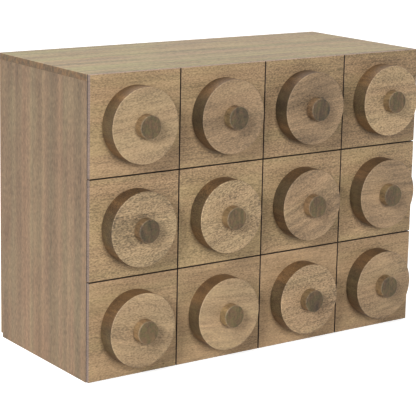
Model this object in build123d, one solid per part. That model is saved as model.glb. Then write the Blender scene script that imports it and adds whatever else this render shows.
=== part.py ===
from build123d import *
import os

# A table-top chest of small wooden drawers, in millimetres.
# X runs along the width, Y from the drawer fronts (-Y) to the back, Z up.
# The origin is on the floor, at the middle of the overall width and depth.

# Case
CASE_WIDTH = 400.0
CASE_HEIGHT = 294.0
CASE_DEPTH = 165.5  # sides, from front edge to rear edge
BOARD = 6.5  # top, bottom and sides
DIVIDER = 6.5  # shelves and uprights
BACK_PANEL = 4.0  # laid over the rear edges, under the top board
BACK_FLOOR_GAP = 4.0
BACK_EDGE_INSET = 0.5
EDGE_EASE = 0.4  # sanded edges of the top and the sides
TOP_CORNER_RADIUS = 1.5

# Joints of the case
HOUSING_DEPTH = 2.0  # shelves and bottom let into the sides, uprights into top and bottom
JOINT_CLEARANCE = 0.1  # glue line in housings, laps, rebates and grooves
DOWELS_PER_JOINT = 3
DOWEL_RADIUS = 1.5
DOWEL_INSET = 22.0  # first and last dowel, from the front and rear edges
DOWEL_IN_TOP = 4.0
DOWEL_IN_SIDE_END = 10.0  # under the top
DOWEL_IN_SIDE_FACE = 2.5  # beyond the housing of the bottom
DOWEL_IN_BOTTOM = 10.0
DOWEL_END_GAP = 0.5

# Drawer fronts
COLUMNS = 4
ROW_NAMES = ("bottom", "middle", "top")
FRONT_THICKNESS = 5.0
FRONT_GAP = 1.0  # between neighbouring fronts
FRONT_FLOOR_GAP = 1.0
CLOSING_GAP = 0.3  # from a closed front to the edges of the case
FRONT_EASE = 0.5

# Drawer boxes
SIDE_CLEARANCE = 0.6  # on each side of a box in its bay
RUNNING_GAP = 0.3  # under a box
TOP_CLEARANCE = 4.0
REAR_CLEARANCE = 3.5
BOX_WALL = 5.0
BOX_REBATE = 2.5  # how far the cross walls reach into the box sides
BOX_BOTTOM = 3.0
BOX_BOTTOM_RAISE = 3.0  # lower edge of the walls to the underside of the bottom
BOX_GROOVE = 2.0

# Round plaque and knob on each front
DISC_RADIUS = 36.2
DISC_THICKNESS = 18.0
DISC_EASE = 0.7
KNOB_RADIUS = 11.3
KNOB_PROUD = 9.0
KNOB_BORE_DEPTH = 8.0
KNOB_CLEARANCE = 0.1
KNOB_EASE = 1.0

# Screw from inside the box, through the front and the disc, into the knob
KNOB_SCREW_RADIUS = 1.75
KNOB_SCREW_BITE = 10.0
KNOB_SCREW_HEAD_RADIUS = 3.6
KNOB_SCREW_HEAD = 2.0
SCREW_HOLE_CLEARANCE = 0.15
THREAD_CLEARANCE = 0.05

# Countersunk screws through the back panel
BACK_SCREW_RADIUS = 1.25
BACK_SCREW_HEAD_RADIUS = 2.5
BACK_SCREW_HEAD = 1.6
BACK_SCREW_BITE = 10.0
BACK_SCREW_INSET = 25.0  # first and last screw, from the ends of the panel
DRIVE_WIDTH = 0.8  # cross cut in each screw head
DRIVE_DEPTH = 0.8
DRIVE_REACH = 0.7  # of the head's radius

# Levels in depth, from the face of the knobs to the rear of the top board
overall_depth = KNOB_PROUD + DISC_THICKNESS + FRONT_THICKNESS + CLOSING_GAP + CASE_DEPTH + BACK_PANEL
y_rear = overall_depth / 2
y_sides_rear = y_rear - BACK_PANEL
y_case_front = y_sides_rear - CASE_DEPTH
y_front_back = y_case_front - CLOSING_GAP
y_front_face = y_front_back - FRONT_THICKNESS
y_disc_face = y_front_face - DISC_THICKNESS
y_knob_face = y_disc_face - KNOB_PROUD
y_bore_end = y_disc_face + KNOB_BORE_DEPTH
y_box_inside = y_front_back + BOX_WALL
y_box_rear = y_sides_rear - REAR_CLEARANCE

# Case, bays, fronts and boxes
half_width = CASE_WIDTH / 2
inner_half_width = half_width - BOARD
let_in = HOUSING_DEPTH - JOINT_CLEARANCE
lap_depth = CASE_DEPTH / 2
z_under_top = CASE_HEIGHT - BOARD
bay_width = (2 * inner_half_width - (COLUMNS - 1) * DIVIDER) / COLUMNS
bay_height = (z_under_top - BOARD - (len(ROW_NAMES) - 1) * DIVIDER) / len(ROW_NAMES)
front_width = (CASE_WIDTH - (COLUMNS - 1) * FRONT_GAP) / COLUMNS
front_height = (CASE_HEIGHT - FRONT_FLOOR_GAP - (len(ROW_NAMES) - 1) * FRONT_GAP) / len(ROW_NAMES)
box_width = bay_width - 2 * SIDE_CLEARANCE
box_height = bay_height - RUNNING_GAP - TOP_CLEARANCE


def slab(x, y, z):
    """A block between two x, two y and two z levels."""
    size = (x[1] - x[0], y[1] - y[0], z[1] - z[0])
    corner = (Align.MIN, Align.MIN, Align.MIN)
    return Pos(x[0], y[0], z[0]) * Box(*size, align=corner)


def rod(radius, x, y, z):
    """A round bar along Y between two y levels."""
    return Pos(x, middle(y), z) * Rot(90, 0, 0) * Cylinder(radius, y[1] - y[0])


def middle(pair):
    """Halfway between two levels."""
    return (pair[0] + pair[1]) / 2


def grown(pair, by):
    """Two levels moved apart on both sides."""
    return pair[0] - by, pair[1] + by


def spread(low, high, count):
    """Evenly spaced places from low to high."""
    return [low + (high - low) * i / (count - 1) for i in range(count)]


def bay_x(column):
    """Left and right side of a bay."""
    left = -inner_half_width + column * (bay_width + DIVIDER)
    return left, left + bay_width


def bay_z(row):
    """Floor and ceiling of a bay."""
    low = BOARD + row * (bay_height + DIVIDER)
    return low, low + bay_height


case_y = (y_case_front, y_sides_rear)
sides = {"left_side": (-half_width, -inner_half_width), "right_side": (inner_half_width, half_width)}
shelves = {f"shelf_{row + 1}": (bay_z(row)[1], bay_z(row + 1)[0]) for row in range(len(ROW_NAMES) - 1)}
uprights = {f"upright_{i + 1}": (bay_x(i)[1], bay_x(i + 1)[0]) for i in range(COLUMNS - 1)}


def dowels(radius, end_gap):
    """The corner dowels, or, with their clearance and a gap at each end, their holes."""
    top_z = grown((z_under_top - DOWEL_IN_SIDE_END, z_under_top + DOWEL_IN_TOP), end_gap)
    top_bar = Cylinder(radius, top_z[1] - top_z[0])
    reach = inner_half_width + HOUSING_DEPTH
    bottom_x = grown((reach - DOWEL_IN_BOTTOM, reach + DOWEL_IN_SIDE_FACE), end_gap)
    bottom_bar = Rot(0, 90, 0) * Cylinder(radius, bottom_x[1] - bottom_x[0])
    bars = []
    for y in spread(y_case_front + DOWEL_INSET, y_sides_rear - DOWEL_INSET, DOWELS_PER_JOINT):
        for side in sides.values():
            bars.append(Pos(middle(side), y, middle(top_z)) * top_bar)
        for x in (-middle(bottom_x), middle(bottom_x)):
            bars.append(Pos(x, y, BOARD / 2) * bottom_bar)
    return bars


def dowel_holes():
    return dowels(DOWEL_RADIUS + THREAD_CLEARANCE, DOWEL_END_GAP)


def back_screw_places():
    """Where the back panel is screwed to each board, as (x, z) by the board's name."""
    low = BACK_FLOOR_GAP + BACK_SCREW_INSET
    high = z_under_top - BACK_SCREW_INSET
    places = {name: [(middle(x), z) for z in spread(low, high, 3)] for name, x in sides.items()}
    for name, z in shelves.items():
        places[name] = [(middle(bay_x(column)), middle(z)) for column in (0, COLUMNS - 1)]
    name, x = list(uprights.items())[len(uprights) // 2]
    places[name] = [(middle(x), z) for z in (low, high)]
    return places


def countersunk(place, clearance):
    """A back screw without its drive, or, with a clearance, the hole for it."""
    x, z = place
    radius = BACK_SCREW_RADIUS + clearance
    shank = rod(radius, x, (y_sides_rear - BACK_SCREW_BITE - clearance, y_rear), z)
    head = Cone(radius, BACK_SCREW_HEAD_RADIUS + clearance, BACK_SCREW_HEAD)
    return shank + Pos(x, y_rear - BACK_SCREW_HEAD / 2, z) * Rot(-90, 0, 0) * head


def back_screw_holes(name):
    return [countersunk(place, THREAD_CLEARANCE) for place in back_screw_places().get(name, [])]


def cross_drive(head_radius, x, y, z):
    """The cross cut in a screw head between two y levels."""
    reach = head_radius * DRIVE_REACH
    half = DRIVE_WIDTH / 2
    level = slab((x - reach, x + reach), y, (z - half, z + half))
    return level + slab((x - half, x + half), y, (z - reach, z + reach))


def top_board():
    """The top, over the sides and the back panel, grooved below for the uprights."""
    board = slab((-half_width, half_width), (y_case_front, y_rear), (z_under_top, CASE_HEIGHT))
    board = fillet(board.edges().filter_by(Axis.Z), TOP_CORNER_RADIUS)
    board = fillet(board.edges().group_by(Axis.Z)[-1], EDGE_EASE)
    groove_z = (z_under_top, z_under_top + HOUSING_DEPTH)
    board -= [slab(grown(x, JOINT_CLEARANCE), case_y, groove_z) for x in uprights.values()]
    return board - dowel_holes()


def bottom_board():
    """The bottom, let into the sides, grooved above for the uprights."""
    reach = inner_half_width + let_in
    board = slab((-reach, reach), case_y, (0, BOARD))
    groove_z = (BOARD - HOUSING_DEPTH, BOARD)
    board -= [slab(grown(x, JOINT_CLEARANCE), case_y, groove_z) for x in uprights.values()]
    return board - dowel_holes()


def side(name):
    """A side, with housings for the bottom and the shelves in its inner face."""
    x = sides[name]
    board = slab(x, case_y, (0, z_under_top))
    outer_edges = board.edges().filter_by(Axis.Z).sort_by(lambda edge: -abs(edge.center().X))[:2]
    board = fillet(outer_edges, EDGE_EASE)
    reach = inner_half_width + HOUSING_DEPTH
    board -= slab((-reach, reach), case_y, (0, BOARD + JOINT_CLEARANCE))
    board -= [slab((-reach, reach), case_y, grown(z, JOINT_CLEARANCE)) for z in shelves.values()]
    return board - dowel_holes() - back_screw_holes(name)


def shelf(name):
    """A shelf, slotted from the rear where the uprights cross it."""
    z = shelves[name]
    reach = inner_half_width + let_in
    board = slab((-reach, reach), case_y, z)
    slot_y = (y_case_front + lap_depth - JOINT_CLEARANCE, y_sides_rear)
    board -= [slab(grown(x, JOINT_CLEARANCE), slot_y, z) for x in uprights.values()]
    return board - back_screw_holes(name)


def upright(name):
    """An upright, slotted from the front where the shelves cross it."""
    x = uprights[name]
    board = slab(x, case_y, (BOARD - let_in, z_under_top + let_in))
    slot_y = (y_case_front, y_case_front + lap_depth)
    board -= [slab(x, slot_y, grown(z, JOINT_CLEARANCE)) for z in shelves.values()]
    return board - back_screw_holes(name)


def back_panel():
    """The thin panel over the rear edges of the case."""
    reach = half_width - BACK_EDGE_INSET
    panel = slab((-reach, reach), (y_sides_rear, y_rear), (BACK_FLOOR_GAP, z_under_top))
    places = [place for group in back_screw_places().values() for place in group]
    return panel - [countersunk(place, SCREW_HOLE_CLEARANCE) for place in places]


def back_screws():
    """The countersunk screws of the back panel."""
    drive_y = (y_rear - DRIVE_DEPTH, y_rear)
    screws = []
    for group in back_screw_places().values():
        for x, z in group:
            screws.append(countersunk((x, z), 0) - cross_drive(BACK_SCREW_HEAD_RADIUS, x, drive_y, z))
    return screws


def knob_screw_hole(x=0.0, z=0.0):
    """The clearance hole for a knob's screw, through box, front and disc."""
    return rod(KNOB_SCREW_RADIUS + SCREW_HOLE_CLEARANCE, x, (y_disc_face, y_box_inside), z)


def front_blank():
    """A drawer front, centred on the origin across and up."""
    x = (-front_width / 2, front_width / 2)
    z = (-front_height / 2, front_height / 2)
    panel = slab(x, (y_front_face, y_front_back), z)
    panel = fillet(panel.edges().group_by(Axis.Y)[0], FRONT_EASE)
    return panel - knob_screw_hole()


def disc_blank():
    """A round plaque with the socket of its knob, centred on the origin."""
    body = rod(DISC_RADIUS, 0, (y_disc_face, y_front_face), 0)
    body = fillet(body.edges().group_by(Axis.Y)[0], DISC_EASE)
    socket = rod(KNOB_RADIUS + KNOB_CLEARANCE, 0, (y_disc_face, y_bore_end), 0)
    return body - socket - knob_screw_hole()


def knob_blank():
    """A turned peg and its screw, centred on the origin."""
    y_tip = y_bore_end - KNOB_SCREW_BITE
    y_head = y_box_inside + KNOB_SCREW_HEAD
    peg = rod(KNOB_RADIUS, 0, (y_knob_face, y_bore_end), 0)
    peg = fillet(peg.edges().group_by(Axis.Y)[0], KNOB_EASE)
    peg -= rod(KNOB_SCREW_RADIUS + THREAD_CLEARANCE, 0, (y_tip - THREAD_CLEARANCE, y_bore_end), 0)
    screw = rod(KNOB_SCREW_RADIUS, 0, (y_tip, y_box_inside), 0)
    screw += rod(KNOB_SCREW_HEAD_RADIUS, 0, (y_box_inside, y_head), 0)
    screw -= cross_drive(KNOB_SCREW_HEAD_RADIUS, 0, (y_head - DRIVE_DEPTH, y_head), 0)
    return [peg, screw]


def box_blank():
    """The inner front, back, sides and bottom of a drawer box, with x and z from its lower left edge."""
    x = (0, box_width)
    y = (y_front_back, y_box_rear)
    z = (0, box_height)
    panel_z = (BOX_BOTTOM_RAISE, BOX_BOTTOM_RAISE + BOX_BOTTOM)
    into_wall = BOX_GROOVE - BOX_WALL
    groove = slab(grown(x, into_wall), grown(y, into_wall), grown(panel_z, JOINT_CLEARANCE))
    panel_reach = into_wall - JOINT_CLEARANCE
    panel = slab(grown(x, panel_reach), grown(y, panel_reach), panel_z)
    rebate_x = grown(x, BOX_REBATE - BOX_WALL)
    ends = (y[0], y[0] + BOX_WALL), (y[1] - BOX_WALL, y[1])
    cross_walls = [slab(grown(rebate_x, -JOINT_CLEARANCE), end, z) - groove for end in ends]
    side_walls = []
    for wall_x in ((x[0], x[0] + BOX_WALL), (x[1] - BOX_WALL, x[1])):
        wall = slab(wall_x, y, z) - [slab(rebate_x, grown(end, JOINT_CLEARANCE), z) for end in ends]
        side_walls.append(wall - groove)
    return cross_walls + side_walls + [panel]


def write(name, pieces):
    """Writes one node: a single solid, or a group of separate solids."""
    solids = [solid for piece in pieces for solid in piece.solids()]
    shape = solids[0] if len(solids) == 1 else Compound(solids)
    export_step(shape, f"parts/{name}.step")


def write_drawers():
    """Writes the front, box, disc and knob of each drawer, row by row from below."""
    front = front_blank()
    disc = disc_blank()
    knob = knob_blank()
    box = box_blank()
    for row, row_name in enumerate(ROW_NAMES):
        for column in range(COLUMNS):
            x = -half_width + column * (front_width + FRONT_GAP) + front_width / 2
            z = FRONT_FLOOR_GAP + row * (front_height + FRONT_GAP) + front_height / 2
            box_corner = Pos(bay_x(column)[0] + SIDE_CLEARANCE, 0, bay_z(row)[0] + RUNNING_GAP)
            inner_front, *other_walls = [box_corner * piece for piece in box]
            label = f"{row_name}_{column + 1}"
            write(f"drawer_front_{label}", [Pos(x, 0, z) * front])
            write(f"drawer_disc_{label}", [Pos(x, 0, z) * disc])
            write(f"drawer_knob_{label}", [Pos(x, 0, z) * piece for piece in knob])
            write(f"drawer_box_{label}", [inner_front - knob_screw_hole(x, z), *other_walls])


def main():
    os.makedirs("parts", exist_ok=True)
    write("top_board", [top_board()])
    write("bottom_board", [bottom_board()])
    for name in sides:
        write(name, [side(name)])
    for name in shelves:
        write(name, [shelf(name)])
    for name in uprights:
        write(name, [upright(name)])
    write("back_panel", [back_panel()])
    write("back_screws", back_screws())
    write("corner_dowels", dowels(DOWEL_RADIUS, 0))
    write_drawers()


if __name__ == "__main__":
    main()
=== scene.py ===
"""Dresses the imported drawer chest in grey-brown washed oak and sets it in a plain, softly lit studio."""

import logging
import math
import random
from dataclasses import dataclass, field, replace
from enum import Enum

import bpy
from mathutils import Matrix, Vector


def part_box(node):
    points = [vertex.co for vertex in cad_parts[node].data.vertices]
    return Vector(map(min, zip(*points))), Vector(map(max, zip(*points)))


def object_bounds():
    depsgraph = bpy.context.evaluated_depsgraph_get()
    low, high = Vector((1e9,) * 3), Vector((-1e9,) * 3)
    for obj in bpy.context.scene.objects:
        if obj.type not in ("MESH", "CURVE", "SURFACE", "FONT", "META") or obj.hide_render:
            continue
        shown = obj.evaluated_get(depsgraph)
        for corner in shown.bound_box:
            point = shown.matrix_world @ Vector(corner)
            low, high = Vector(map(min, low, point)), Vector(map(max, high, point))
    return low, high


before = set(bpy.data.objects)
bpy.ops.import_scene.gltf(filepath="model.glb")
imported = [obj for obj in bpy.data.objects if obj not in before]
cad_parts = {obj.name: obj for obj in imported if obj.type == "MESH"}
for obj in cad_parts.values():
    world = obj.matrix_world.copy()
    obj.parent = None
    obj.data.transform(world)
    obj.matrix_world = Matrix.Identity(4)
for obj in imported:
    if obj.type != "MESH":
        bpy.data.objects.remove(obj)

LOG = logging.getLogger("drawer_chest")
MM = 0.001
CAD_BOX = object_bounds()
CAD_HEIGHT_MM = CAD_BOX[1][2] / MM
WHITE = (1.0, 1.0, 1.0, 1.0)
# What a node's socket takes: a value, or the node or socket that feeds it.
Source = float | tuple[float, ...] | bpy.types.Node | bpy.types.NodeSocket


def linear(hex_colour: str) -> tuple[float, float, float, float]:
    """Turns an sRGB colour into the linear one that shaders take.

    Args:
        hex_colour: six hex digits, such as "a38a6c".

    Returns:
        Linear red, green, blue and an alpha of 1.
    """
    parts = [int(hex_colour[i : i + 2], 16) / 255 for i in (0, 2, 4)]
    return (*[c / 12.92 if c <= 0.04045 else ((c + 0.055) / 1.055) ** 2.4 for c in parts], 1.0)


def add(
    tree: bpy.types.NodeTree, kind: str, inputs: dict[str | int, Source] | None = None, **settings: str,
) -> bpy.types.Node:
    """Adds a shader node with its settings and links.

    Args:
        tree: the node tree that takes it.
        kind: the node's type without its "ShaderNode" prefix.
        inputs: values for sockets by name or number. A node stands for its first output in use.
        **settings: properties of the node by name.

    Returns:
        The new node.
    """
    node = tree.nodes.new("ShaderNode" + kind)
    for name, value in settings.items():
        setattr(node, name, value)
    for name, value in (inputs or {}).items():
        socket = node.inputs[name] if isinstance(name, int) else next(
            s for s in node.inputs if s.enabled and s.name == name)
        if isinstance(value, bpy.types.Node):
            value = next(s for s in value.outputs if s.enabled)
        if isinstance(value, bpy.types.NodeSocket):
            tree.links.new(value, socket)
        else:
            socket.default_value = value
    return node


def empty_material(name: str) -> bpy.types.Material:
    """Makes a material with nothing in it yet.

    Args:
        name: what it is called.

    Returns:
        The material, with no nodes.
    """
    material = bpy.data.materials.new(name)
    material.use_nodes = True
    material.node_tree.nodes.clear()
    return material


class Grain(Enum):
    """Which way fibres run: the order in which x, y and z become along, across and through."""

    FRONT = (0, 2, 1)
    LEVEL = (0, 1, 2)
    SIDE = (2, 1, 0)
    BACK = (2, 0, 1)
    OUT = (1, 0, 2)


class Shape(Enum):
    """What eased edges lie between: flat faces, or flat ends and a side turned about the y axis."""

    BOARD = "board"
    TURNED = "turned"


@dataclass(frozen=True)
class PaintedFootShade:
    """The round foot of a disc or peg that stands on a piece, with painted shade round it, widest below.

    Attributes:
        x_m: its axis, from the chest's middle.
        z_m: its axis, from the floor.
        radius_mm: its edge.
        reach_mm: how far out the painted shade fades.
        share: how dark the painted shade is at the edge.
        drop_mm: how far below the axis the ring's middle is set, so that the painted shade is widest below.
    """

    x_m: float
    z_m: float
    radius_mm: float
    reach_mm: float
    share: float
    drop_mm: float


@dataclass(frozen=True)
class Cut:
    """Where in the tree one piece was cut from, and how it took its finish.

    Attributes:
        grain: which way its fibres run.
        seed: picks the place in the tree.
        turn_deg: turns the fibres in the plane of the drawer fronts.
        tint: how light the piece is beside the others.
        warmth: above 0 for pink-brown, below for olive-grey.
        floor_light_per_m: how much lighter it gets for each metre down: painted light thrown up from the
            floor.
        foot: what stands on it, with painted shade round its foot.
    """

    grain: Grain
    seed: int
    turn_deg: float = 0.0
    tint: float = 1.0
    warmth: float = 0.0
    floor_light_per_m: float = 0.0
    foot: PaintedFootShade | None = None


class Timber:
    """The wood inside one piece, as nodes of its material, in millimetres along and across the fibres.

    Attributes:
        TREE_MM: length, width and depth of the stretch of wood that pieces are cut from.
        SWAY_MM: length and width of the bends in the fibres.
        EASED_FROM: how square a surface is where an eased edge begins, and in the edge's middle.
        tree: the material's nodes.
        cut: the piece.
        place: the piece's own coordinates and the way its surface faces.
        axes: those coordinates in millimetres, as x, y and z, turned with the fibres.
        board: the same, as along, across and through.
        offset: where in the tree the piece was cut from.
        swayed: the place in the tree, with the bends of the fibres.
    """

    TREE_MM = (4000, 900, 900)
    SWAY_MM = (120.0, 45.0)
    EASED_FROM = (0.995, 0.93)

    def __init__(self, tree: bpy.types.NodeTree, cut: Cut, sway_mm: float) -> None:
        """Lays the fibres.

        Args:
            tree: the material's nodes.
            cut: the piece.
            sway_mm: how far the fibres wander from straight.
        """
        self.tree = tree
        self.cut = cut
        draw = random.Random(cut.seed)
        self.place = add(tree, "TexCoord")
        turned = add(tree, "Mapping", {
            "Vector": self.place.outputs["Object"],
            "Rotation": (0.0, math.radians(cut.turn_deg), 0.0),
            "Scale": (1 / MM, 1 / MM, 1 / MM),
        })
        self.axes = add(tree, "SeparateXYZ", {0: turned})
        along, across, through = [self.axes.outputs[i] for i in cut.grain.value]
        self.board = add(tree, "CombineXYZ", {0: along, 1: across, 2: through})
        self.offset = tuple(draw.uniform(0, size) for size in self.TREE_MM)
        self.lay(self.board, sway_mm)

    def lay(self, board: bpy.types.Node, sway_mm: float) -> None:
        """Sets where each point of the piece lies in the tree.

        Args:
            board: the point along, across and through the piece.
            sway_mm: how far the fibres wander from straight.
        """
        tree = self.tree
        length, width = self.SWAY_MM
        spot = add(tree, "VectorMath", {0: board, 1: self.offset}, operation="ADD")
        wide = add(tree, "VectorMath", {
            0: spot, 1: (1 / length, 1 / width, 1 / width),
        }, operation="MULTIPLY")
        sway = add(tree, "TexNoise", {"Vector": wide, "Scale": 1.0, "Detail": 1.0})
        self.swayed = add(tree, "VectorMath", {
            0: sway.outputs["Color"], 1: (0.0, sway_mm, sway_mm), 2: spot,
        }, operation="MULTIPLY_ADD")

    def marks(self, size_mm: tuple[float, float], detail: float, layered: float = 1.0) -> bpy.types.Node:
        """Draws marks that follow the fibres.

        Args:
            size_mm: how long and how wide they are.
            detail: how many finer layers they break up into.
            layered: how many times as deep as wide they are.

        Returns:
            A value around zero.
        """
        length, width = size_mm
        stretched = add(self.tree, "VectorMath", {
            0: self.swayed, 1: (1 / length, 1 / width, 1 / (width * layered)),
        }, operation="MULTIPLY")
        noise = add(self.tree, "TexNoise", {"Vector": stretched, "Scale": 1.0, "Detail": detail})
        return add(self.tree, "Math", {0: noise, 1: 0.5}, operation="SUBTRACT")

    def end_grain(self, low: float, high: float) -> bpy.types.Node:
        """Finds where the fibres are cut across.

        Args:
            low: how far a surface faces along the fibres where end grain begins, from 0 to 1.
            high: how far it does where end grain is full.

        Returns:
            A share from 0 to 1.
        """
        facing = add(self.tree, "VectorRotate", {
            "Vector": self.place.outputs["Normal"], "Angle": -math.radians(self.cut.turn_deg),
        }, rotation_type="Y_AXIS")
        parts = add(self.tree, "SeparateXYZ", {0: facing})
        size = add(self.tree, "Math", {0: parts.outputs[self.cut.grain.value[0]]}, operation="ABSOLUTE")
        return add(self.tree, "MapRange", {
            "Value": size, "From Min": low, "From Max": high,
        }, interpolation_type="SMOOTHSTEP")

    def outward(self) -> bpy.types.Node:
        """How far a surface faces the front or the back of the chest, from 0 to 1."""
        parts = add(self.tree, "SeparateXYZ", {0: self.place.outputs["Normal"]})
        return add(self.tree, "Math", {0: parts.outputs[1]}, operation="ABSOLUTE")

    def eased(self, shape: Shape) -> bpy.types.Node:
        """Finds the rounded edges.

        Args:
            shape: what the edges lie between.

        Returns:
            A share from 0 on the faces to 1 in the middle of an edge.
        """
        tree = self.tree
        out = self.outward()
        parts = add(tree, "SeparateXYZ", {0: self.place.outputs["Normal"]})
        if shape is Shape.TURNED:
            both = add(tree, "CombineXYZ", {0: parts.outputs[0], 1: parts.outputs[2]})
            turned = add(tree, "VectorMath", {0: both}, operation="LENGTH").outputs["Value"]
            square_on = add(tree, "Math", {0: out, 1: turned}, operation="MAXIMUM")
        else:
            wide = add(tree, "Math", {0: parts.outputs[0]}, operation="ABSOLUTE")
            high = add(tree, "Math", {0: parts.outputs[2]}, operation="ABSOLUTE")
            square_on = add(tree, "Math", {0: out, 1: wide}, operation="MAXIMUM")
            square_on = add(tree, "Math", {0: square_on, 1: high}, operation="MAXIMUM")
        begin, middle = self.EASED_FROM
        return add(tree, "MapRange", {
            "Value": square_on, "From Min": begin, "From Max": middle,
        }, interpolation_type="SMOOTHSTEP")

    def foot_shade(self) -> bpy.types.Node | None:
        """Finds the ring of painted shade round the foot of what stands on the piece, widest below.

        Returns:
            A share that is highest at the foot, or nothing where the piece carries nothing.
        """
        foot = self.cut.foot
        if foot is None:
            return None
        flat = add(self.tree, "VectorMath", {
            0: self.place.outputs["Object"],
            1: (1.0, 0.0, 1.0),
            2: (-foot.x_m, 0.0, foot.drop_mm * MM - foot.z_m),
        }, operation="MULTIPLY_ADD")
        apart = add(self.tree, "VectorMath", {0: flat}, operation="LENGTH").outputs["Value"]
        return add(self.tree, "MapRange", {
            "Value": apart, "From Min": (foot.radius_mm - foot.drop_mm) * MM,
            "From Max": (foot.radius_mm + foot.reach_mm) * MM,
            "To Min": foot.share, "To Max": 0.0,
        }, interpolation_type="SMOOTHSTEP")


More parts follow.
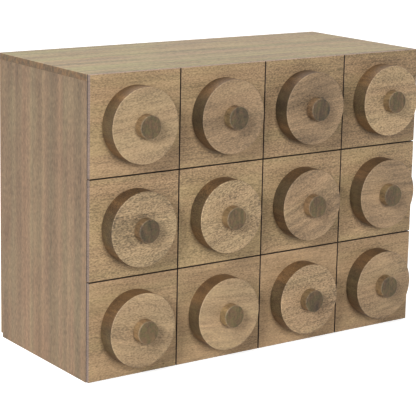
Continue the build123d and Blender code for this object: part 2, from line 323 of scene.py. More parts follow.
@dataclass(frozen=True)
class WashedOak:
    """Oak, sanded, washed grey-brown and sealed with a matt lacquer.

    The wash sinks in by the density of the wood, so the colour drifts from pink-brown to olive-grey in soft
    bands along the fibres, over a fine grit with short dark pores. End grain drinks more of it and is far
    darker. The lacquer gives a broad, dull sheen and no mirror. Eased edges are painted a little paler, as
    rubbed wear and as a painted highlight. Faces in the fronts' seams are painted nearly black, as shade.
    Painted shade can ring the foot of what stands on a piece, and pieces can get painted floor light. Grit
    and pores are drawn 2 to 5 mm long, coarser than real ones, because finer ones would not show.

    Attributes:
        CLOUD_MM: length and width of the soft patches.
        LAYERED: depth of the bands and streaks beside their width.
        HUE_LAYERED: the same for the bands of colour.
        HUE_REACH: value of their marks, either side of zero, where a colour is full.
        HUE_CLOUD: how much the soft patches shift them.
        PALE_MM: length and width of the paler bands in the side's wash.
        PALE_LAYERED: their depth beside their width.
        PALE_FROM: value of their marks where they begin and where they are full.
        PATCH_MM: length and width of the patches in end grain.
        PATCH_REACH: value of their marks, either side of zero, where a colour is full.
        END_SHARE: how far end grain takes its own colour.
        PORE_FROM: value of the marks where a pore begins and is full, with pores at 0.
        PORE_STEP: how far that comes down with pores at 1.
        PORE_SHARE: how dark they are.
        PORE_DEPTH: how deep they are beside the grit.
        RELIEF: how strongly grit and pores stand out.
        RELIEF_MM: how high the grit is.
        SHEEN: how far the roughness goes below and above its middle.
        SHEEN_REACH: value of the streaks, either side of zero, where it gets there.
        IOR: of the lacquer.
        SPECULAR: how strongly it reflects.
        name: the material's name.
        warm: colour of the pinker bands.
        cool: colour of the greyer bands.
        pore: colour in the pores, and of the painted shade round a foot.
        end: colour of end grain; on the fronts it is nearly black, painted shade in the seams between them.
        end_cool: colour of the greyer patches in end grain.
        end_from: how square to the fibres a surface is where end grain begins and where it is full.
        side: dark wash on faces that look sideways, up or down; on the fronts, painted shade in the seams.
        side_pale: paler bands in that wash.
        side_share: how strong that wash is.
        side_from: how far a surface faces the front where that wash begins and where it is full.
        outer: colour of the edges on the chest's own sides, where they differ from the rest.
        upper: colour of the edges on its top, where the wash was rubbed thin.
        outer_mm: distance from the chest's middle, and height, past which that is.
        outer_front_mm: the y in front of which it is: the painted seam shade stays in the joint behind.
        rubbed: colour of rubbed edges, which is also a painted highlight on them.
        rubbed_highlight_share: how far the edges are rubbed and carry that painted highlight.
        band_mm: length and width of the broad bands.
        band: their strength.
        streak_mm: length and width of the streaks.
        streak: their strength.
        grit_mm: length and width of the grit.
        grit: its strength.
        cloud: strength of the soft patches.
        hue_mm: length and width of the bands of colour.
        pore_mm: length and width of the pores.
        pores: how many there are.
        sway_mm: how far the fibres wander.
        roughness: of the lacquer.
        shape: what the eased edges lie between.
    """

    CLOUD_MM = (55.0, 26.0)
    LAYERED = 5.0
    HUE_LAYERED = 3.0
    HUE_REACH = 0.25
    HUE_CLOUD = 0.4
    PALE_MM = (90.0, 5.0)
    PALE_LAYERED = 12.0
    PALE_FROM = (-0.2, 0.25)
    PATCH_MM = (30.0, 4.5)
    PATCH_REACH = 0.15
    END_SHARE = 0.9
    PORE_FROM = (0.2, 0.3)
    PORE_STEP = 0.12
    PORE_SHARE = 0.5
    PORE_DEPTH = 0.35
    RELIEF = 0.4
    RELIEF_MM = 0.15
    SHEEN = (-0.06, 0.08)
    SHEEN_REACH = 0.3
    IOR = 1.5
    SPECULAR = 0.35

    name: str
    warm: str = "a78b6b"
    cool: str = "a08b67"
    pore: str = "5a4630"
    end: str = "6e5e48"
    end_cool: str = "6e5e48"
    end_from: tuple[float, float] = (0.3, 0.95)
    side: str = "a88b6b"
    side_pale: str = "a88b6b"
    side_share: float = 0.0
    side_from: tuple[float, float] = (0.8, 0.3)
    outer: str = ""
    upper: str = ""
    outer_mm: tuple[float, float] = (1000.0, 1000.0)
    outer_front_mm: float = 0.0
    rubbed: str = "c0a888"
    rubbed_highlight_share: float = 0.25
    band_mm: tuple[float, float] = (260.0, 8.0)
    band: float = 0.5
    streak_mm: tuple[float, float] = (38.0, 2.6)
    streak: float = 1.0
    grit_mm: tuple[float, float] = (3.4, 1.7)
    grit: float = 1.2
    cloud: float = 0.6
    hue_mm: tuple[float, float] = (190.0, 17.0)
    pore_mm: tuple[float, float] = (4.6, 1.2)
    pores: float = 0.4
    sway_mm: float = 8.0
    roughness: float = 0.6
    shape: Shape = Shape.BOARD

    def build(self, cut: Cut) -> bpy.types.Material:
        """Makes the material for one piece.

        Args:
            cut: the piece.

        Returns:
            A material that follows the piece's own coordinates.
        """
        material = empty_material(f"{self.name}_{cut.seed}")
        surface = self.surface(Timber(material.node_tree, cut, self.sway_mm))
        add(material.node_tree, "OutputMaterial", {"Surface": surface})
        return material

    def surface(self, timber: Timber) -> bpy.types.Node:
        """Makes the washed and lacquered surface.

        Args:
            timber: the wood under it.

        Returns:
            The shader node.
        """
        tree, cut = timber.tree, timber.cut
        end_facing = add(tree, "Math", {
            0: timber.end_grain(*self.end_from), 1: self.END_SHARE,
        }, operation="MULTIPLY")
        face = add(tree, "Math", {0: 1.0, 1: end_facing}, operation="SUBTRACT")
        bands = add(tree, "Math", {
            0: timber.marks(self.band_mm, detail=2.0, layered=self.LAYERED), 1: face,
        }, operation="MULTIPLY")
        streaks = timber.marks(self.streak_mm, detail=3.0, layered=self.LAYERED)
        grit = timber.marks(self.grit_mm, detail=2.0)
        clouds = timber.marks(self.CLOUD_MM, detail=1.0)
        tint = cut.tint
        # Painted floor light: the piece gets lighter towards the floor.
        if cut.floor_light_per_m:
            up = add(tree, "Math", {0: timber.axes.outputs[2], 1: CAD_HEIGHT_MM / 2}, operation="SUBTRACT")
            tint = add(tree, "Math", {0: up, 1: -cut.floor_light_per_m * MM, 2: cut.tint}, operation="MULTIPLY_ADD")
        value = add(tree, "Math", {0: bands, 1: self.band, 2: tint}, operation="MULTIPLY_ADD")
        value = add(tree, "Math", {0: streaks, 1: self.streak, 2: value}, operation="MULTIPLY_ADD")
        value = add(tree, "Math", {0: grit, 1: self.grit, 2: value}, operation="MULTIPLY_ADD")
        value = add(tree, "Math", {0: clouds, 1: self.cloud, 2: value}, operation="MULTIPLY_ADD")
        toned = add(tree, "HueSaturation", {"Value": value, "Color": self.wash(timber, clouds, end_facing)})
        more = self.PORE_STEP * self.pores
        pores = add(tree, "MapRange", {
            "Value": timber.marks(self.pore_mm, detail=1.0),
            "From Min": self.PORE_FROM[0] - more, "From Max": self.PORE_FROM[1] - more,
        }, interpolation_type="SMOOTHSTEP")
        dark = add(tree, "Math", {0: pores, 1: self.PORE_SHARE}, operation="MULTIPLY")
        finished = add(tree, "Mix", {"Factor": dark, "A": toned, "B": linear(self.pore)}, data_type="RGBA")
        height = add(tree, "Math", {0: pores, 1: -self.PORE_DEPTH, 2: grit}, operation="MULTIPLY_ADD")
        relief = add(tree, "Bump", {
            "Strength": self.RELIEF, "Distance": self.RELIEF_MM * MM, "Height": height,
        })
        sheen = add(tree, "MapRange", {
            "Value": streaks, "From Min": -self.SHEEN_REACH, "From Max": self.SHEEN_REACH,
            "To Min": self.roughness + self.SHEEN[0], "To Max": self.roughness + self.SHEEN[1],
        })
        return add(tree, "BsdfPrincipled", {
            "Base Color": finished, "Roughness": sheen, "Normal": relief,
            "IOR": self.IOR, "Specular IOR Level": self.SPECULAR,
        })

    def wash(self, timber: Timber, clouds: bpy.types.Node, end_facing: bpy.types.Node) -> bpy.types.Node:
        """Mixes the colours of the wash by where it sank in.

        Args:
            timber: the wood under it.
            clouds: the soft patches.
            end_facing: how far the surface is end grain, which on the fronts is where painted seam shade
                goes.

        Returns:
            The node with the colour before its fine grain.
        """
        tree, cut = timber.tree, timber.cut
        drift = add(tree, "Math", {
            0: clouds, 1: self.HUE_CLOUD,
            2: timber.marks(self.hue_mm, detail=2.0, layered=self.HUE_LAYERED),
        }, operation="MULTIPLY_ADD")
        hue = add(tree, "MapRange", {
            "Value": drift,
            "From Min": cut.warmth - self.HUE_REACH, "From Max": cut.warmth + self.HUE_REACH,
        }, interpolation_type="SMOOTHSTEP")
        shade = add(tree, "Mix", {
            "Factor": hue, "A": linear(self.warm), "B": linear(self.cool),
        }, data_type="RGBA")
        # Faces that look sideways take a dark wash; on the fronts, nearly black, it is painted shade in the
        # seams.
        if self.side_share:
            sideways = add(tree, "MapRange", {
                "Value": timber.outward(), "From Min": self.side_from[0], "From Max": self.side_from[1],
                "To Min": 0.0, "To Max": self.side_share,
            }, interpolation_type="SMOOTHSTEP")
            layers = add(tree, "MapRange", {
                "Value": timber.marks(self.PALE_MM, detail=2.0, layered=self.PALE_LAYERED),
                "From Min": self.PALE_FROM[0], "From Max": self.PALE_FROM[1],
            }, interpolation_type="SMOOTHSTEP")
            dark = add(tree, "Mix", {
                "Factor": layers, "A": linear(self.side), "B": linear(self.side_pale),
            }, data_type="RGBA")
            shade = add(tree, "Mix", {"Factor": sideways, "A": shade, "B": dark}, data_type="RGBA")
        patches = add(tree, "MapRange", {
            "Value": timber.marks(self.PATCH_MM, detail=2.0),
            "From Min": -self.PATCH_REACH, "From Max": self.PATCH_REACH,
        }, interpolation_type="SMOOTHSTEP")
        # End grain; the fronts' nearly black end colours are painted shade in the vertical seams.
        ends = add(tree, "Mix", {
            "Factor": patches, "A": linear(self.end), "B": linear(self.end_cool),
        }, data_type="RGBA")
        shade = add(tree, "Mix", {"Factor": end_facing, "A": shade, "B": ends}, data_type="RGBA")
        # Front edges on the chest's outside keep their own colours instead of the painted seam shade.
        if self.outer:
            far = add(tree, "Math", {0: timber.axes.outputs[0]}, operation="ABSOLUTE")
            far = add(tree, "Math", {0: far, 1: self.outer_mm[0]}, operation="GREATER_THAN")
            high = add(tree, "Math", {
                0: timber.axes.outputs[2], 1: self.outer_mm[1],
            }, operation="GREATER_THAN")
            outside = add(tree, "Math", {0: far, 1: high}, operation="MAXIMUM")
            before = add(tree, "Math", {
                0: timber.axes.outputs[1], 1: self.outer_front_mm,
            }, operation="LESS_THAN")
            outside = add(tree, "Math", {0: outside, 1: before}, operation="MULTIPLY")
            edge = add(tree, "Mix", {
                "Factor": high, "A": linear(self.outer), "B": linear(self.upper or self.outer),
            }, data_type="RGBA")
            shade = add(tree, "Mix", {"Factor": outside, "A": shade, "B": edge}, data_type="RGBA")
        # Painted shade round the foot of a disc or peg, widest below.
        painted_foot_shade = timber.foot_shade()
        if painted_foot_shade:
            shade = add(tree, "Mix", {
                "Factor": painted_foot_shade, "A": shade, "B": linear(self.pore),
            }, data_type="RGBA")
        # Eased edges painted paler: rubbed wear and a painted highlight.
        worn_and_highlit = add(tree, "Math", {0: timber.eased(self.shape), 1: self.rubbed_highlight_share}, operation="MULTIPLY")
        return add(tree, "Mix", {"Factor": worn_and_highlit, "A": shade, "B": linear(self.rubbed)}, data_type="RGBA")


@dataclass(frozen=True)
class ZincSteel:
    """Zinc-plated mild steel, as on cheap wood screws: a soft, slightly warm grey shine with fine scratches.

    The scratches are drawn at half a millimetre, coarser than real ones, so that they show at all.

    Attributes:
        SPREAD: how far the scratches take the roughness below and above its middle.
        name: the material's name.
        colour: what it reflects.
        roughness: of the plating.
        scratch_mm: size of the scratches.
    """

    SPREAD = (-0.08, 0.12)

    name: str = "zinc_plated_steel"
    colour: str = "b9b4a8"
    roughness: float = 0.34
    scratch_mm: float = 0.5

    def surface(self, tree: bpy.types.NodeTree) -> bpy.types.Node:
        """Makes the plated surface.

        Args:
            tree: the material's nodes.

        Returns:
            The shader node.
        """
        place = add(tree, "TexCoord")
        scratches = add(tree, "TexNoise", {
            "Vector": place.outputs["Object"], "Scale": 1 / (self.scratch_mm * MM), "Detail": 3.0,
        })
        rough = add(tree, "MapRange", {
            "Value": scratches,
            "To Min": self.roughness + self.SPREAD[0], "To Max": self.roughness + self.SPREAD[1],
        })
        return add(tree, "BsdfPrincipled", {
            "Base Color": linear(self.colour), "Metallic": 1.0, "Roughness": rough,
        })

    def build(self) -> bpy.types.Material:
        """Makes the material of the back's screws.

        Returns:
            A material that is steel throughout.
        """
        material = empty_material(self.name)
        add(material.node_tree, "OutputMaterial", {"Surface": self.surface(material.node_tree)})
        return material


@dataclass(frozen=True)
class PegOnScrew:
    """A washed oak peg with its zinc-plated screw, which share one node: wood in front, steel behind.

    Attributes:
        wood: the finish of the peg.
        steel: the finish of the screw.
    """

    wood: WashedOak
    steel: ZincSteel = ZincSteel()

    def build(self, cut: Cut, peg_end_m: float) -> bpy.types.Material:
        """Makes the material for one peg and its screw.

        Args:
            cut: the peg.
            peg_end_m: the y at which the peg ends inside the disc and only the screw goes on.

        Returns:
            A material that follows the piece's own coordinates.
        """
        material = empty_material(f"{self.wood.name}_{cut.seed}")
        tree = material.node_tree
        timber = Timber(tree, cut, self.wood.sway_mm)
        deep = add(tree, "SeparateXYZ", {0: timber.place.outputs["Object"]})
        behind = add(tree, "Math", {0: deep.outputs[1], 1: peg_end_m}, operation="GREATER_THAN")
        both = add(tree, "MixShader", {
            0: behind, 1: self.wood.surface(timber), 2: self.steel.surface(tree),
        })
        add(tree, "OutputMaterial", {"Surface": both})
        return material


@dataclass(frozen=True)
class BirchPly:
    """Birch plywood, sanded and sealed: a pale face with faint wide figure, and edges striped by the plies.

    Attributes:
        FIGURE_MM: length and width of the figure.
        FIGURE_FROM: value of its marks where it begins and where it is full.
        FINE_MM: length and width of the fine grain.
        FINE: its strength.
        EDGE_BELOW: how far a surface faces through the plies, below which it is an edge.
        GLUE_SHARE: how dark the striped plies are.
        RELIEF: how strongly the fine grain stands out.
        RELIEF_MM: how high it is.
        IOR: of the seal.
        SPECULAR: how strongly it reflects.
        name: the material's name.
        face: colour of the face veneer.
        figure: colour of its darker figure.
        glue: colour of the plies that show end grain at an edge.
        ply_mm: thickness of one ply.
        sway_mm: how far the fibres wander.
        roughness: of the seal.
    """

    FIGURE_MM = (240.0, 14.0)
    FIGURE_FROM = (-0.2, 0.25)
    FINE_MM = (14.0, 1.3)
    FINE = 0.7
    EDGE_BELOW = 0.5
    GLUE_SHARE = 0.8
    RELIEF = 0.3
    RELIEF_MM = 0.08
    IOR = 1.5
    SPECULAR = 0.3

    name: str = "birch_plywood"
    face: str = "b5977a"
    figure: str = "a38568"
    glue: str = "75583d"
    ply_mm: float = 1.33
    sway_mm: float = 14.0
    roughness: float = 0.62

    def surface(self, timber: Timber) -> bpy.types.Node:
        """Makes the sanded surface.

        Args:
            timber: the sheet, whose third direction runs through the plies.

        Returns:
            The shader node.
        """
        tree = timber.tree
        figure = add(tree, "MapRange", {
            "Value": timber.marks(self.FIGURE_MM, detail=2.0),
            "From Min": self.FIGURE_FROM[0], "From Max": self.FIGURE_FROM[1],
        }, interpolation_type="SMOOTHSTEP")
        fine = timber.marks(self.FINE_MM, detail=2.0)
        shade = add(tree, "Mix", {
            "Factor": figure, "A": linear(self.face), "B": linear(self.figure),
        }, data_type="RGBA")
        through = add(tree, "SeparateXYZ", {0: timber.board})
        plies = add(tree, "Math", {0: through.outputs[2], 1: 2 * self.ply_mm}, operation="PINGPONG")
        middle = add(tree, "Math", {0: plies, 1: self.ply_mm}, operation="GREATER_THAN")
        parts = add(tree, "SeparateXYZ", {0: timber.place.outputs["Normal"]})
        flat = add(tree, "Math", {0: parts.outputs[timber.cut.grain.value[2]]}, operation="ABSOLUTE")
        edge = add(tree, "Math", {0: flat, 1: self.EDGE_BELOW}, operation="LESS_THAN")
        striped = add(tree, "Math", {0: middle, 1: edge}, operation="MULTIPLY")
        striped = add(tree, "Math", {0: striped, 1: self.GLUE_SHARE}, operation="MULTIPLY")
        shade = add(tree, "Mix", {"Factor": striped, "A": shade, "B": linear(self.glue)}, data_type="RGBA")
        value = add(tree, "Math", {0: fine, 1: self.FINE, 2: timber.cut.tint}, operation="MULTIPLY_ADD")
        toned = add(tree, "HueSaturation", {"Value": value, "Color": shade})
        relief = add(tree, "Bump", {
            "Strength": self.RELIEF, "Distance": self.RELIEF_MM * MM, "Height": fine,
        })
        return add(tree, "BsdfPrincipled", {
            "Base Color": toned, "Roughness": self.roughness, "Normal": relief,
            "IOR": self.IOR, "Specular IOR Level": self.SPECULAR,
        })

    def build(self, cut: Cut) -> bpy.types.Material:
        """Makes the material for one sheet.

        Args:
            cut: the sheet.

        Returns:
            A material that follows the sheet's own coordinates.
        """
        material = empty_material(f"{self.name}_{cut.seed}")
        surface = self.surface(Timber(material.node_tree, cut, self.sway_mm))
        add(material.node_tree, "OutputMaterial", {"Surface": surface})
        return material


@dataclass(frozen=True)
class DrawerBoxWood:
    """The boards of one drawer box, which share one node: clear-sealed oak walls on a birch plywood bottom.

    Attributes:
        SLACK_MM: how far a border between two woods is kept off the faces of the boards.
        SHEET_SEED: how far the bottom's seed is past the walls'.
        walls: the finish of the four walls.
        bottom: the finish of the bottom.
        wall_mm: thickness of a wall.
        rebate_mm: how far a cross wall reaches into the side walls.
        bottom_low_mm: the bottom's lower face, above the lower edge of the walls.
        bottom_top_mm: its upper face, above the same edge.
    """

    SLACK_MM = 0.05
    SHEET_SEED = 5

    walls: WashedOak
    bottom: BirchPly = BirchPly(ply_mm=1.0)
    wall_mm: float = 5.0
    rebate_mm: float = 2.5
    bottom_low_mm: float = 3.0
    bottom_top_mm: float = 6.0

    def build(self, cut: Cut, corners: tuple[Vector, Vector]) -> bpy.types.Material:
        """Makes the material for one box.

        Args:
            cut: the box.
            corners: its lowest and highest corners.

        Returns:
            A material that runs the grain along each wall.
        """
        low, high = [[c / MM for c in corner] for corner in corners]
        material = empty_material(f"{self.walls.name}_{cut.seed}")
        tree = material.node_tree
        timber = Timber(tree, cut, self.walls.sway_mm)
        x, y, z = timber.axes.outputs
        off_middle = add(tree, "Math", {0: x, 1: (low[0] + high[0]) / 2}, operation="SUBTRACT")
        off_middle = add(tree, "Math", {0: off_middle}, operation="ABSOLUTE")
        half = (high[0] - low[0]) / 2
        outer = add(tree, "Math", {0: off_middle, 1: half - self.rebate_mm}, operation="GREATER_THAN")
        inner = add(tree, "Math", {
            0: off_middle, 1: half - self.wall_mm - self.SLACK_MM,
        }, operation="GREATER_THAN")
        off_ends = add(tree, "Math", {0: y, 1: (low[1] + high[1]) / 2}, operation="SUBTRACT")
        off_ends = add(tree, "Math", {0: off_ends}, operation="ABSOLUTE")
        between = add(tree, "Math", {
            0: off_ends, 1: (high[1] - low[1]) / 2 - self.wall_mm,
        }, operation="LESS_THAN")
        inner = add(tree, "Math", {0: inner, 1: between}, operation="MULTIPLY")
        side_wall = add(tree, "Math", {0: outer, 1: inner}, operation="MAXIMUM")
        lengthwise = add(tree, "CombineXYZ", {0: y, 1: z, 2: x})
        crosswise = add(tree, "CombineXYZ", {0: x, 1: z, 2: y})
        board = add(tree, "Mix", {"Factor": side_wall, "A": crosswise, "B": lengthwise}, data_type="VECTOR")
        timber.lay(board, self.walls.sway_mm)
        inside = add(tree, "Math", {
            0: off_middle, 1: half - self.wall_mm + self.SLACK_MM,
        }, operation="LESS_THAN")
        level = add(tree, "Math", {
            0: z, 1: low[2] + self.bottom_top_mm + self.SLACK_MM,
        }, operation="LESS_THAN")
        above = add(tree, "Math", {
            0: z, 1: low[2] + self.bottom_low_mm - self.SLACK_MM,
        }, operation="GREATER_THAN")
        level = add(tree, "Math", {0: level, 1: above}, operation="MULTIPLY")
        panel = add(tree, "Math", {0: inside, 1: between}, operation="MULTIPLY")
        panel = add(tree, "Math", {0: panel, 1: level}, operation="MULTIPLY")
        level_cut = replace(cut, grain=Grain.LEVEL, seed=cut.seed + self.SHEET_SEED)
        sheet = Timber(tree, level_cut, self.bottom.sway_mm)
        both = add(tree, "MixShader", {
            0: panel, 1: self.walls.surface(timber), 2: self.bottom.surface(sheet),
        })
        add(tree, "OutputMaterial", {"Surface": both})
        return material


# Brushed with the wash while upright: long soft bands of pink-brown and grey run the height of the side.
CASE_OAK = WashedOak(
    "washed_oak_case", warm="7f654e", cool="77674e", end="6d5a44", end_cool="655741",
    band_mm=(1200.0, 15.0), band=1.1, streak_mm=(500.0, 5.0), streak=0.8, grit_mm=(4.0, 1.8), grit=1.25,
    hue_mm=(900.0, 16.0), cloud=0.5, sway_mm=5.0)
# The top has more light on it than any other board and shows its lengthwise streaks best.
TOP_OAK = WashedOak(
    "washed_oak_top", warm="8d775c", cool="847957", end="684b30", end_cool="503f2b",
    band_mm=(500.0, 12.0), band=1.0, streak_mm=(160.0, 6.0), streak=0.8, grit_mm=(3.4, 3.0), grit=1.3,
    hue_mm=(450.0, 14.0), cloud=0.5)
# Fronts: fine level grain. Their faces in the seams between them are nearly black: painted shade in the
# seams.
# Edges on the chest's own sides are left out of that shade, and those on its top are paler, rubbed thin.
FRONT_OAK = WashedOak(
    "washed_oak_front", warm="a38766", cool="9c8662", pore="4a3824", end="20131a", end_cool="2a1c14",
    side="20131a", side_pale="2a1c14", side_share=0.97, side_from=(0.97, 0.7), outer="7c6a5f",
    upper="a58b76", outer_mm=(199.7, 293.6), outer_front_mm=-70.2, rubbed_highlight_share=0.05,
    streak_mm=(34.0, 2.0), streak=0.65, grit_mm=(2.4, 1.1), pores=0.25, sway_mm=5.0)
# Discs: the turned rim took the wash like end grain and is much darker than the sanded face.
DISC_OAK = WashedOak(
    "washed_oak_disc", warm="a68a6a", cool="a08968", pore="4f3d29", end="52422e", end_cool="5a4c33",
    end_from=(0.8, 0.98), side="50371f", side_pale="6a4d2d", side_share=0.9,
    streak_mm=(42.0, 3.6), grit_mm=(2.4, 1.1), pore_mm=(3.6, 1.1), cloud=0.9, shape=Shape.TURNED)
# Pegs: warm oiled sides, and a face of end grain, dark and mottled from purple-grey to olive.
PEG_OAK = WashedOak(
    "oiled_oak_peg", warm="7f6347", cool="7b6747", end="594531", end_cool="51482d", band_mm=(60.0, 5.0),
    rubbed="80705a", rubbed_highlight_share=0.5, streak_mm=(38.0, 3.0), streak=1.5, pores=0.2, shape=Shape.TURNED)
# Drawer boxes: unwashed oak under a clear seal, paler and warmer than the outside.
BOX_OAK = WashedOak("sealed_oak_box", warm="b99c78", cool="b09a74", end="9c8462", end_cool="9c8462")
# Dowels: beech rod, cut across, with tight pale end grain.
DOWEL_BEECH = WashedOak(
    "beech_dowel", warm="b08c68", cool="aa8a66", end="8f7050", end_cool="8a6e50",
    band=0.2, streak=0.5, grit=0.7, pores=0.1, rubbed_highlight_share=0.0, roughness=0.55)
# Back: birch plywood, browner than the drawers' bottoms.
BACK_PLY = BirchPly("birch_plywood_back", face="a88b6c", figure="9a8062", glue="6e563c")


@dataclass(frozen=True)
class DiscLook:
    """How one disc was cut and took its wash, set by comparing renders with the photograph.

    Attributes:
        turn_deg: slope of its grain.
        grit: strength of the grit.
        streak: strength of the streaks.
        pores: how many pores show.
        tint: how light it is.
        warmth: above 0 for pink-brown, below for olive-grey.
        peg_tint: how light its peg is.
        board: which board it was sawn from.
    """

    turn_deg: float
    grit: float
    streak: float
    pores: float
    tint: float
    warmth: float
    peg_tint: float
    board: int


DISC_LOOKS: dict[str, tuple[DiscLook, ...]] = {
    "top": (
        DiscLook(9, 1.4, 0.7, 0.3, 1.0, -0.1, 1.0, 6), DiscLook(10, 1.2, 0.35, 0.3, 0.69, 0.25, 0.7, 6),
        DiscLook(8, 1.15, 0.5, 0.4, 0.65, 0.3, 0.7, 3), DiscLook(2, 1.85, 0.8, 0.8, 0.99, -0.1, 0.93, 5),
    ),
    "middle": (
        DiscLook(2, 2.1, 0.8, 0.7, 0.8, -0.1, 0.78, 0), DiscLook(14, 2.3, 0.7, 1.0, 0.97, -0.2, 0.96, 0),
        DiscLook(21, 1.3, 0.7, 0.5, 0.65, 0.2, 0.97, 4), DiscLook(-1, 1.0, 0.9, 0.3, 0.74, 0.25, 0.88, 2),
    ),
    "bottom": (
        DiscLook(-12, 1.5, 0.7, 0.5, 0.82, 0.0, 1.22, 2), DiscLook(-4, 1.2, 0.9, 0.2, 0.9, 0.0, 1.22, 4),
        DiscLook(3, 2.2, 0.8, 0.3, 0.81, 0.1, 0.88, 1), DiscLook(6, 1.2, 0.9, 0.4, 0.68, 0.15, 0.92, 6),
    ),
}


@dataclass(frozen=True)
class FrontLook:
    """How one drawer front took its wash, set in the same way.

    Attributes:
        tint: how light it is.
        warmth: above 0 for pink-brown, below for olive-grey.
        grit: strength of the grit.
        board: which board it was sawn from.
    """

    tint: float
    warmth: float
    grit: float
    board: int


FRONT_LOOKS: dict[str, tuple[FrontLook, ...]] = {
    "top": (
        FrontLook(1.03, 0.0, 1.45, 6), FrontLook(0.91, 0.1, 1.5, 1),
        FrontLook(0.85, 0.1, 1.65, 6), FrontLook(0.785, 0.1, 1.5, 4),
    ),
    "middle": (
        FrontLook(0.94, 0.05, 1.9, 2), FrontLook(0.97, 0.0, 1.9, 2),
        FrontLook(0.92, 0.0, 1.75, 2), FrontLook(0.915, 0.05, 1.8, 6),
    ),
    "bottom": (
        FrontLook(0.88, 0.1, 1.5, 3), FrontLook(0.92, 0.1, 1.4, 6),
        FrontLook(0.965, 0.25, 1.3, 5), FrontLook(0.89, 0.2, 1.4, 6),
    ),
}
# Painted light thrown up from the floor: sides, fronts and discs get lighter by this for each metre down.
PAINTED_FLOOR_LIGHT = 0.8
# Seeds of the drawers: the first row's, and the steps from row to row and from column to column.
FIRST_SEED = 1000
ROW_SEEDS = 40
COLUMN_SEEDS = 10


def dress(name: str, material: bpy.types.Material) -> None:
    """Gives a CAD node its finish.

    Args:
        name: the node.
        material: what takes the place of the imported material.
    """
    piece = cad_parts[name]
    piece.data.materials.clear()
    piece.data.materials.append(material)
    LOG.info("%s: %s", name, material.name)


@dataclass(frozen=True)
class Case:
    """The boards that make the case and its bays.

    Attributes:
        washed: the boards in washed oak, each with the way its grain runs.
        first_seed: picks the top board's place in the tree, and the next ones the others'.
        back_seed: picks the back's.
        dowel_seed: picks the dowels'.
    """

    washed: dict[str, Grain] = field(default_factory=lambda: {
        "bottom_board": Grain.LEVEL,
        "left_side": Grain.SIDE,
        "right_side": Grain.SIDE,
        "shelf_1": Grain.LEVEL,
        "shelf_2": Grain.LEVEL,
        "upright_1": Grain.SIDE,
        "upright_2": Grain.SIDE,
        "upright_3": Grain.SIDE,
    })
    first_seed: int = 400
    back_seed: int = 420
    dowel_seed: int = 421

    def dress(self) -> None:
        """Finishes each board with grain that runs its own way."""
        dress("top_board", TOP_OAK.build(Cut(Grain.LEVEL, self.first_seed)))
        for number, (name, grain) in enumerate(self.washed.items(), 1):
            # Of the case's boards, only the sides get the painted floor light.
            floor_light_per_m = PAINTED_FLOOR_LIGHT if name.endswith("_side") else 0.0
            dress(name, CASE_OAK.build(Cut(grain, self.first_seed + number, floor_light_per_m=floor_light_per_m)))
        dress("back_panel", BACK_PLY.build(Cut(Grain.BACK, self.back_seed)))
        dress("corner_dowels", DOWEL_BEECH.build(Cut(Grain.BACK, self.dowel_seed)))
        dress("back_screws", ZincSteel().build())


@dataclass(frozen=True)
class Drawer:
    """One drawer: front, box, disc and peg.

    Attributes:
        DISC_FOOT_SHADE: reach, share and drop of the painted shade round the disc's foot, on the front.
        PEG_FOOT_SHADE: the same round the peg's foot, on the disc.
        row: bottom, middle or top.
        column: from 1 at the left.
        seed: picks the front's place in the tree, and the next three those of box, disc and peg.
        disc_radius_mm: of the disc.
        peg_radius_mm: of the peg.
        peg_end_m: the y at which the peg ends inside the disc.
        board_step: how far the seeds of two boards are apart.
    """

    DISC_FOOT_SHADE = (2.5, 0.75, 2.5)
    PEG_FOOT_SHADE = (2.0, 0.5, 1.0)

    row: str
    column: int
    seed: int
    disc_radius_mm: float = 36.2
    peg_radius_mm: float = 11.3
    peg_end_m: float = -0.0835
    board_step: int = 100

    def dress(self) -> None:
        """Finishes the drawer's pieces, each cut from another place in the tree."""
        label = f"{self.row}_{self.column}"
        look = DISC_LOOKS[self.row][self.column - 1]
        front = FRONT_LOOKS[self.row][self.column - 1]
        # The disc's axis, round which painted shade rings the feet of disc and peg.
        low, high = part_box(f"drawer_disc_{label}")
        x, z = (low[0] + high[0]) / 2, (low[2] + high[2]) / 2
        # Fronts and discs get painted floor light, lighter towards the floor.
        dress(f"drawer_front_{label}", replace(FRONT_OAK, grit=front.grit).build(Cut(
            Grain.FRONT, self.seed + self.board_step * front.board, tint=front.tint, warmth=front.warmth,
            floor_light_per_m=PAINTED_FLOOR_LIGHT, foot=PaintedFootShade(x, z, self.disc_radius_mm, *self.DISC_FOOT_SHADE))))
        dress(f"drawer_box_{label}", DrawerBoxWood(BOX_OAK).build(
            Cut(Grain.OUT, self.seed + 1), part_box(f"drawer_box_{label}")))
        disc = replace(DISC_OAK, grit=look.grit, streak=look.streak, pores=look.pores)
        dress(f"drawer_disc_{label}", disc.build(Cut(
            Grain.FRONT, self.seed + 2 + self.board_step * look.board, look.turn_deg, look.tint,
            look.warmth, PAINTED_FLOOR_LIGHT, foot=PaintedFootShade(x, z, self.peg_radius_mm, *self.PEG_FOOT_SHADE))))
        dress(f"drawer_knob_{label}", PegOnScrew(PEG_OAK).build(
            Cut(Grain.OUT, self.seed + 3, tint=look.peg_tint), self.peg_end_m))


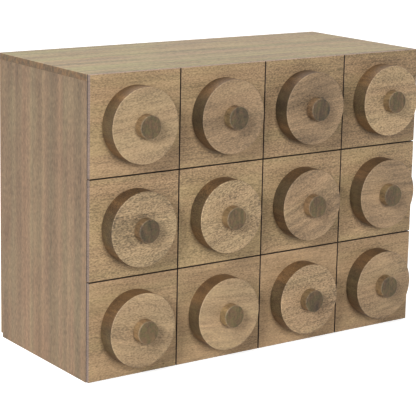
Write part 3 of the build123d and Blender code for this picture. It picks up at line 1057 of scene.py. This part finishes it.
@dataclass(frozen=True)
class PhotoCamera:
    """The camera at the photograph's viewing angle, found from the edges of the chest.

    Attributes:
        place_m: where it stands.
        azimuth_deg: how far it looks to the right of straight ahead.
        elevation_deg: how far it looks down.
        roll_deg: how far it leans.
        focal_px: its focal length in pixels of the photograph.
        image_px: the photograph's width and height.
        sensor_mm: width of its sensor.
        nearest_m: how near it sees.
        shift: how far the picture is off its axis, in picture widths.
    """

    place_m: tuple[float, float, float] = (-0.9344, -1.2901, 0.5020)
    azimuth_deg: float = 34.731
    elevation_deg: float = 11.291
    roll_deg: float = 1.008
    focal_px: float = 1580.7
    image_px: float = 416.0
    sensor_mm: float = 36.0
    nearest_m: float = 0.05
    shift: tuple[float, float] = (0.05, -0.12)

    def build(self) -> None:
        """Makes the camera and gives it to the scene."""
        data = bpy.data.cameras.new("photo_camera")
        data.sensor_width = self.sensor_mm
        data.lens = self.focal_px / self.image_px * self.sensor_mm
        data.shift_x, data.shift_y = self.shift
        data.clip_start = self.nearest_m
        camera = bpy.data.objects.new("photo_camera", data)
        bpy.context.scene.collection.objects.link(camera)
        turn = Matrix.Rotation(math.radians(-self.azimuth_deg), 4, "Z")
        tilt = Matrix.Rotation(math.radians(90 - self.elevation_deg), 4, "X")
        roll = Matrix.Rotation(math.radians(self.roll_deg), 4, "Z")
        camera.matrix_world = Matrix.Translation(self.place_m) @ turn @ tilt @ roll
        bpy.context.scene.camera = camera


@dataclass(frozen=True)
class Softbox:
    """A rectangular studio lamp.

    Attributes:
        name: the lamp's name.
        place_m: where it stands.
        size_m: its width and height.
        power_w: its power.
    """

    name: str
    place_m: tuple[float, float, float]
    size_m: tuple[float, float]
    power_w: float

    def build(self, target: Vector) -> None:
        """Makes the lamp.

        Args:
            target: the point it faces.
        """
        data = bpy.data.lights.new(self.name, "AREA")
        data.shape = "RECTANGLE"
        data.size, data.size_y = self.size_m
        data.energy = self.power_w
        lamp = bpy.data.objects.new(self.name, data)
        bpy.context.scene.collection.objects.link(lamp)
        lamp.location = self.place_m
        lamp.rotation_euler = (target - Vector(self.place_m)).to_track_quat("-Z", "Y").to_euler()


@dataclass(frozen=True)
class Studio:
    """A pale floor, a white surround, softboxes and a wide diffuser overhead.

    Attributes:
        floor_size_m: width and depth of the floor.
        floor_colour: of its matt paint.
        floor_glow: what the eye and reflections see on top of the light that falls on it.
        fill: how much the surround lights the object.
        overhead: strength of the diffuser.
        overhead_spread_deg: how wide it looks from the object.
        overhead_place_m: where it hangs.
        overhead_tilt_deg: how far it is off the vertical, about x and y.
        target_m: the point that the softboxes face.
        lamps: the softboxes.
    """

    floor_size_m: float = 12.0
    floor_colour: str = "c4c2bf"
    floor_glow: float = 0.82
    fill: float = 0.04
    overhead: float = 2.4
    overhead_spread_deg: float = 50.0
    overhead_place_m: tuple[float, float, float] = (0.0, 0.0, 2.0)
    overhead_tilt_deg: tuple[float, float] = (-28.0, -8.0)
    target_m: tuple[float, float, float] = (0.0, -0.07, 0.15)
    lamps: tuple[Softbox, ...] = (
        Softbox("left_softbox", (-2.51, -1.52, 1.5), (0.8, 1.0), 89.0),
        Softbox("key_softbox", (0.0, -3.52, 1.48), (1.1, 0.6), 48.0),
        Softbox("right_softbox", (2.31, -0.91, 0.58), (0.8, 0.8), 4.0),
        Softbox("left_rear_softbox", (-1.2, 1.8, 0.8), (0.8, 0.8), 6.0),
        Softbox("right_rear_softbox", (2.0, 0.7, 0.7), (0.8, 0.8), 8.0),
    )

    def build(self) -> None:
        """Makes the floor, the surround and the lamps."""
        bpy.context.scene.view_settings.view_transform = "Standard"
        self.surround()
        self.floor()
        self.diffuser()
        for lamp in self.lamps:
            lamp.build(Vector(self.target_m))

    def diffuser(self) -> None:
        """Makes the wide light from above, even over the whole floor."""
        data = bpy.data.lights.new("overhead_diffuser", "SUN")
        data.energy = self.overhead
        data.angle = math.radians(self.overhead_spread_deg)
        lamp = bpy.data.objects.new("overhead_diffuser", data)
        bpy.context.scene.collection.objects.link(lamp)
        lamp.location = self.overhead_place_m
        lamp.rotation_euler = [math.radians(a) for a in (*self.overhead_tilt_deg, 0.0)]

    def seen(self, tree: bpy.types.NodeTree) -> bpy.types.Node:
        """Finds the rays that see the background: the camera's, and those from glossy or clear surfaces.

        Args:
            tree: the nodes of the world or the floor.

        Returns:
            A value of 1 for those rays and 0 for light that falls on the object.
        """
        rays = add(tree, "LightPath")
        direct = add(tree, "Math", {
            0: rays.outputs["Is Camera Ray"], 1: rays.outputs["Is Glossy Ray"],
        }, operation="MAXIMUM")
        return add(tree, "Math", {0: direct, 1: rays.outputs["Is Transmission Ray"]}, operation="MAXIMUM")

    def surround(self) -> None:
        """Lights the object evenly, and looks white to the eye and in reflections."""
        world = bpy.data.worlds.new("white_surround")
        bpy.context.scene.world = world
        world.use_nodes = True
        tree = world.node_tree
        tree.nodes.clear()
        lit = add(tree, "Background", {"Color": WHITE, "Strength": self.fill})
        white = add(tree, "Background", {"Color": WHITE, "Strength": 1.0})
        both = add(tree, "MixShader", {0: self.seen(tree), 1: lit, 2: white})
        add(tree, "OutputWorld", {"Surface": both})

    def floor(self) -> None:
        """A matt painted floor that keeps the object's shadow and looks white away from it."""
        half = self.floor_size_m / 2
        corners = [(-half, -half, 0), (half, -half, 0), (half, half, 0), (-half, half, 0)]
        mesh = bpy.data.meshes.new("floor")
        mesh.from_pydata(corners, [], [(0, 1, 2, 3)])
        floor = bpy.data.objects.new("floor", mesh)
        bpy.context.scene.collection.objects.link(floor)
        material = empty_material("painted_floor")
        tree = material.node_tree
        strength = add(tree, "Math", {0: self.seen(tree), 1: self.floor_glow}, operation="MULTIPLY")
        paint = add(tree, "BsdfDiffuse", {"Color": linear(self.floor_colour)})
        glow = add(tree, "Emission", {"Color": WHITE, "Strength": strength})
        both = add(tree, "AddShader", {0: paint, 1: glow})
        add(tree, "OutputMaterial", {"Surface": both})
        floor.data.materials.append(material)


def main() -> None:
    """Builds the studio and dresses the chest."""
    logging.basicConfig(level=logging.INFO, format="%(name)s: %(message)s")
    PhotoCamera().build()
    Studio().build()
    Case().dress()
    for row_number, row in enumerate(("bottom", "middle", "top")):
        for column in range(1, 5):
            Drawer(row, column, FIRST_SEED + ROW_SEEDS * row_number + COLUMN_SEEDS * column).dress()


if __name__ == "__main__":
    main()
